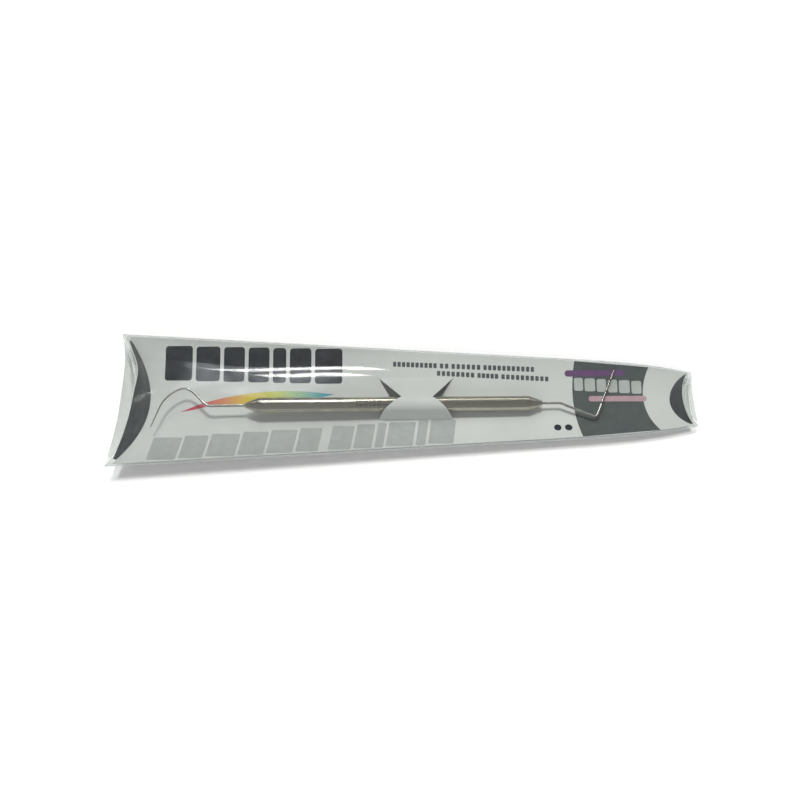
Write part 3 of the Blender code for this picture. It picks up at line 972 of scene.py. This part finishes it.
def build_cone(name, node, end, wire, material):
    """A chamfered base against the handle, a slightly swelling taper and a rounded nose at the wire."""
    start = HANDLE_ENDS[0] if end < 0 else HANDLE_ENDS[1]
    nose = start + end * CONE_LENGTH
    taper_end = wire + 0.34
    swell = 0.05
    nose_round = 0.3
    base = HANDLE_RADIUS
    profile = [(start + end * 0.04, base - 0.28), (start + end * 0.05, base - 0.12)]
    profile.append((start + end * 0.14, base))
    for share in steps_between(0.06, 0.93, 10):
        radius = base + (taper_end - base) * share
        profile.append((start + end * CONE_LENGTH * share, radius + swell * math.sin(math.pi * share)))
    for turn in steps_between(30, 90, 4):
        angle = math.radians(turn)
        x = nose - end * nose_round * (1 - math.sin(angle))
        profile.append((x, wire + 0.05 + nose_round * math.cos(angle)))
    profile.append((nose + end * 0.12, wire + 0.012))
    bm = bmesh.new()
    lathe(bm, profile if end > 0 else profile[::-1])
    add_probe_piece(name, bm, [material], node, sharp=40.0)


def smooth_path(points, per_step):
    """A curve through all the points, passing each one along the line of its neighbours."""
    first = 2 * Vector(points[0]) - Vector(points[1])
    last = 2 * Vector(points[-1]) - Vector(points[-2])
    knots = [first] + [Vector(p) for p in points] + [last]
    path = []
    for a, b, c, d in zip(knots, knots[1:], knots[2:], knots[3:]):
        for i in range(per_step):
            t = i / per_step
            bend = (2 * a - 5 * b + 4 * c - d) * t * t + (3 * b - a - 3 * c + d) * t * t * t
            path.append(0.5 * (2 * b + (c - a) * t + bend))
    path.append(Vector(points[-1]))
    return path


def bent_path(start, corners, end, arc_steps):
    """Straight runs joined by bends of a given radius."""
    stops = [Vector(start)] + [Vector(c[:2]) for c in corners] + [Vector(end)]
    path = [stops[0]]
    for index, corner in enumerate(corners, start=1):
        here = stops[index]
        back = (stops[index - 1] - here).normalized()
        ahead = (stops[index + 1] - here).normalized()
        half = back.angle(ahead) / 2
        run = corner[2] / math.tan(half)
        middle = here + (back + ahead).normalized() * corner[2] / math.sin(half)
        from_point = here + back * run - middle
        to_point = here + ahead * run - middle
        turn = from_point.angle_signed(to_point)
        for i in range(arc_steps + 1):
            spin = Matrix.Rotation(-turn * i / arc_steps, 2)
            path.append(middle + spin @ from_point)
    path.append(stops[-1])
    return path


def build_explorer(material):
    path = smooth_path(list(EXPLORER_PATH), 8)
    lengths = [0.0]
    for low, high in zip(path, path[1:]):
        lengths.append(lengths[-1] + (high - low).length)
    taper_start = 14.0
    radii = []
    for length in lengths:
        share = max(0.0, (length - taper_start) / (lengths[-1] - taper_start))
        radii.append(EXPLORER_WIRE + (EXPLORER_TIP - EXPLORER_WIRE) * share**1.2)
    radii[-2:] = [0.10, 0.03]  # the point
    bm = bmesh.new()
    sweep(bm, path, radii, [0] * len(path))
    add_probe_piece("explorer_wire", bm, [material], "explorer_shank")


def graduated_run(tip, elbow):
    """Points, radii and material indices from the elbow to the tip, with its grooves and wide bands."""
    way = (elbow - tip).normalized()
    length = (elbow - tip).length

    def taper(at):
        return PROBE_TIP + (PROBE_WIRE - PROBE_TIP) * min(1.0, at / length)

    stations = [(0.0, 0.02, 0)]
    for turn in steps_between(20, 90, 5):
        stations.append((PROBE_TIP * 0.8 * turn / 90, PROBE_TIP * math.sin(math.radians(turn)), 0))
    for mark in range(1, GRADUATIONS + 1):
        if mark in BANDS:
            low, high = mark - 1 + GROOVE_WIDTH, mark
        elif mark + 1 in BANDS:
            continue
        else:
            low, high = mark - GROOVE_WIDTH / 2, mark + GROOVE_WIDTH / 2
        stations.append((low - GROOVE_SIDE, taper(low), 1))
        stations.append((low, taper(low) - GROOVE_DEPTH, 1))
        stations.append((high, taper(high) - GROOVE_DEPTH, 1))
        stations.append((high + GROOVE_SIDE, taper(high), 0))
    stations.append((length, PROBE_WIRE, 0))
    return way, stations


def build_probe_wire(material, groove):
    root = HANDLE_ENDS[1] + CONE_LENGTH - 0.8
    bends = bent_path((root, 0.0), PROBE_CORNERS, PROBE_TIP_POINT, 20)[:-1]
    tip = Vector(PROBE_TIP_POINT)
    way, stations = graduated_run(tip, bends[-1])
    run = stations[::-1][1:]
    path = bends + [tip + way * at for at, _, _ in run]
    radii = [PROBE_WIRE] * len(bends) + [radius for _, radius, _ in run]
    indices = [0] * len(bends) + [index for _, _, index in run[1:]]
    bm = bmesh.new()
    sweep(bm, path, radii, indices)
    add_probe_piece("probe_wire", bm, [material, groove], "probe_shank")


# ----------------------------------------------------------------- the studio

CAMERA_ELEVATION = math.radians(66.23)
CAMERA_AZIMUTH = math.radians(3.88)
CAMERA_ROLL = math.radians(-3.93)
CAMERA_DISTANCE = 350.0
CAMERA_TARGET = (-1.265, -0.31, 4.5)
CAMERA_LENS = 42.43
SENSOR = 36.0
STEEL_PIECES = ("handle_barrel", "explorer_nose_cone", "probe_nose_cone", "explorer_wire", "probe_wire")
FILM_SURFACES = 32  # the most faces of film that a ray may pass
FLOOR_HALF_SIDE = 3000.0
FLOOR_HEIGHT = -0.02
WORLD_FRONT = (0.32, 0.32, 0.33)
WORLD_BACK = (0.24, 0.24, 0.245)
KEY_POWER = 2.25
KEY_SOFTNESS = math.radians(11.0)
KEY_TILT = math.radians(-23.0)
LAMP_REACH = 700.0
DAYLIGHT = (0.90, 0.95, 1.0)
WARM = (1.0, 0.985, 0.96)
WARMER = (1.0, 0.985, 0.94)


def build_camera():
    data = bpy.data.cameras.new("camera")
    camera = bpy.data.objects.new("camera", data)
    bpy.context.scene.collection.objects.link(camera)
    data.sensor_width = SENSOR
    data.lens = CAMERA_LENS
    data.clip_start = 0.01
    data.clip_end = 20.0
    level = math.cos(CAMERA_ELEVATION)
    away = (level * math.sin(CAMERA_AZIMUTH), -level * math.cos(CAMERA_AZIMUTH), math.sin(CAMERA_ELEVATION))
    back = Vector(away)
    right = Vector((math.cos(CAMERA_AZIMUTH), math.sin(CAMERA_AZIMUTH), 0))
    up = back.cross(right)
    turn = Matrix((right, up, back)).transposed() @ Matrix.Rotation(CAMERA_ROLL, 3, "Z")
    place = (Vector(CAMERA_TARGET) + back * CAMERA_DISTANCE) * MM
    camera.matrix_world = Matrix.Translation(place) @ turn.to_4x4()
    bpy.context.scene.camera = camera


def area_light(name, start, end, breadth, power, colour=(1, 1, 1), in_gloss=True):
    """A softbox with its long axis from start to end, facing the object."""
    first = Vector(start)
    last = Vector(end)
    middle = (first + last) / 2
    away = middle.normalized()
    side = away.cross((last - first).normalized()).normalized()
    data = bpy.data.lights.new(name, "AREA")
    data.shape = "RECTANGLE"
    data.size = (last - first).length * MM
    data.size_y = breadth * MM
    data.energy = power
    data.color = colour
    lamp = bpy.data.objects.new(name, data)
    bpy.context.scene.collection.objects.link(lamp)
    turn = Matrix((side.cross(away), side, away)).transposed().to_4x4()
    lamp.matrix_world = Matrix.Translation(middle * MM) @ turn
    lamp.visible_glossy = in_gloss
    return lamp


def overhead(x, tilt, reach=LAMP_REACH):
    """A lamp's end, at this reach from the object's long axis and tilted back from straight above it."""
    angle = math.radians(tilt)
    return (x, reach * math.sin(angle), reach * math.cos(angle))


def build_floor():
    bm = bmesh.new()
    side = FLOOR_HALF_SIDE
    corners = ((-side, -side), (side, -side), (side, side), (-side, side))
    bm.faces.new([bm.verts.new((x, y, FLOOR_HEIGHT)) for x, y in corners])
    make_piece("floor", bm, [floor_material()], smooth=False)


def build_world():
    """An even grey room, a little brighter in front of the object than behind it."""
    world = bpy.data.worlds.new("studio")
    bpy.context.scene.world = world
    world.use_nodes = True
    nodes = world.node_tree.nodes
    links = world.node_tree.links
    background = nodes["Background"]
    where = nodes.new("ShaderNodeTexCoord")
    split = nodes.new("ShaderNodeSeparateXYZ")
    ramp = nodes.new("ShaderNodeValToRGB")
    links.new(where.outputs["Generated"], split.inputs[0])
    height = nodes.new("ShaderNodeMapRange")
    height.inputs["From Min"].default_value = -1.0
    height.inputs["From Max"].default_value = 1.0
    links.new(split.outputs["Y"], height.inputs["Value"])
    links.new(height.outputs[0], ramp.inputs["Fac"])
    stops = ramp.color_ramp.elements
    stops[0].color = (*WORLD_FRONT, 1)
    stops[-1].color = (*WORLD_BACK, 1)
    links.new(ramp.outputs["Color"], background.inputs["Color"])


def build_lamps():
    """A sun as the key, a fill in front, and lamps behind that the steel and the film mirror."""
    sun = bpy.data.lights.new("key", "SUN")
    sun.energy = KEY_POWER
    sun.angle = KEY_SOFTNESS
    sun.color = WARM
    key = bpy.data.objects.new("key", sun)
    bpy.context.scene.collection.objects.link(key)
    key.rotation_euler = (KEY_TILT, 0, 0)
    key.visible_glossy = False
    area_light("front_fill", (-400, -600, 420), (400, -600, 420), 400, 1.6, in_gloss=False)
    area_light("window", overhead(-217, 36), overhead(-56, 36), 330, 0.22, DAYLIGHT)
    area_light("long_tube", overhead(-180, 40), overhead(0, 50), 58, 0.42)
    area_light("short_tube", overhead(-135, 30), overhead(-25, 37), 48, 0.24)
    area_light("glint", overhead(-256, 23), overhead(-246, 23), 3, 0.0012)
    ends = (overhead(-750, 52, 800), overhead(750, 52, 800))
    strip = area_light("handle_strip", *ends, 110, 2.0, WARMER)
    steel_only = bpy.data.collections.new("lit_by_the_strip")
    for piece in STEEL_PIECES:
        steel_only.objects.link(bpy.data.objects[piece])
    strip.light_linking.receiver_collection = steel_only


def build_studio():
    """Comes after the steel pieces, because one lamp lights only them."""
    build_floor()
    build_world()
    build_lamps()
    bpy.context.scene.view_settings.view_transform = "Standard"
    bpy.context.scene.cycles.transparent_max_bounces = FILM_SURFACES


# ----------------------------------------------------------------- assembly


def main():
    build_camera()

    edge = film_edge_frost_and_highlight_material()
    clear = film_material("clear_film")
    build_sleeve(clear, edge)
    build_lap(film_material("clear_film_glued", haze=(0.05, 0.14)), edge)
    build_creases(film_material("clear_film_creased", haze=(0.12, 0.4)))
    # each flap's end, its side, how far it reaches inwards and upwards, and its share of the width
    flaps = (
        ("wide_outer_flap", -1, 1, (0.87, -9.9), 0.86),
        ("wide_inner_flap", -1, -1, (3.3, 7.2), 0.6),
        ("narrow_outer_flap", 1, 1, (0.3, -3.75), 0.8),
        ("narrow_inner_flap", 1, -1, (1.8, 2.5), 0.6),
    )
    for name, end, side, reach, span in flaps:
        build_film_flap(name, end, side, reach, span, clear, edge)

    pulp = board_edge_material()
    board_back = board_back_material()
    build_card(board_face_material(), pulp, board_back)
    dark = dark_board_material()
    build_card_flap("card_wide_flap", -1, WIDE_FLAP_REACH, 0.5, [dark, pulp, board_back])
    build_card_flap("card_narrow_flap", 1, NARROW_FLAP_REACH, 0.0, [dark, pulp, board_back])

    build_dark_blocks()
    build_rainbow()
    build_small_lines()
    build_pale_blocks()
    build_dark_band()
    build_band_bars()
    build_dots()

    satin = steel_material("steel_satin", (0.57, 0.53, 0.455), 0.22, (6.0, 0.25, 0.25), 0.3)
    turned = steel_material("steel_turned", (0.56, 0.525, 0.455), 0.20, (5.0, 0.3, 0.3))
    bright = steel_material("steel_bright", (0.66, 0.64, 0.60), 0.16, (0.4, 0.4, 3.0))
    build_handle(satin)
    build_etching(ink_material("etched_mark", (0.10, 0.085, 0.07), 0.5, 0.3))
    build_cone("explorer_nose_cone", "explorer_cone", -1, EXPLORER_WIRE, turned)
    build_cone("probe_nose_cone", "probe_cone", 1, PROBE_WIRE, turned)
    build_explorer(bright)
    build_probe_wire(bright, groove_material())

    build_studio()


main()
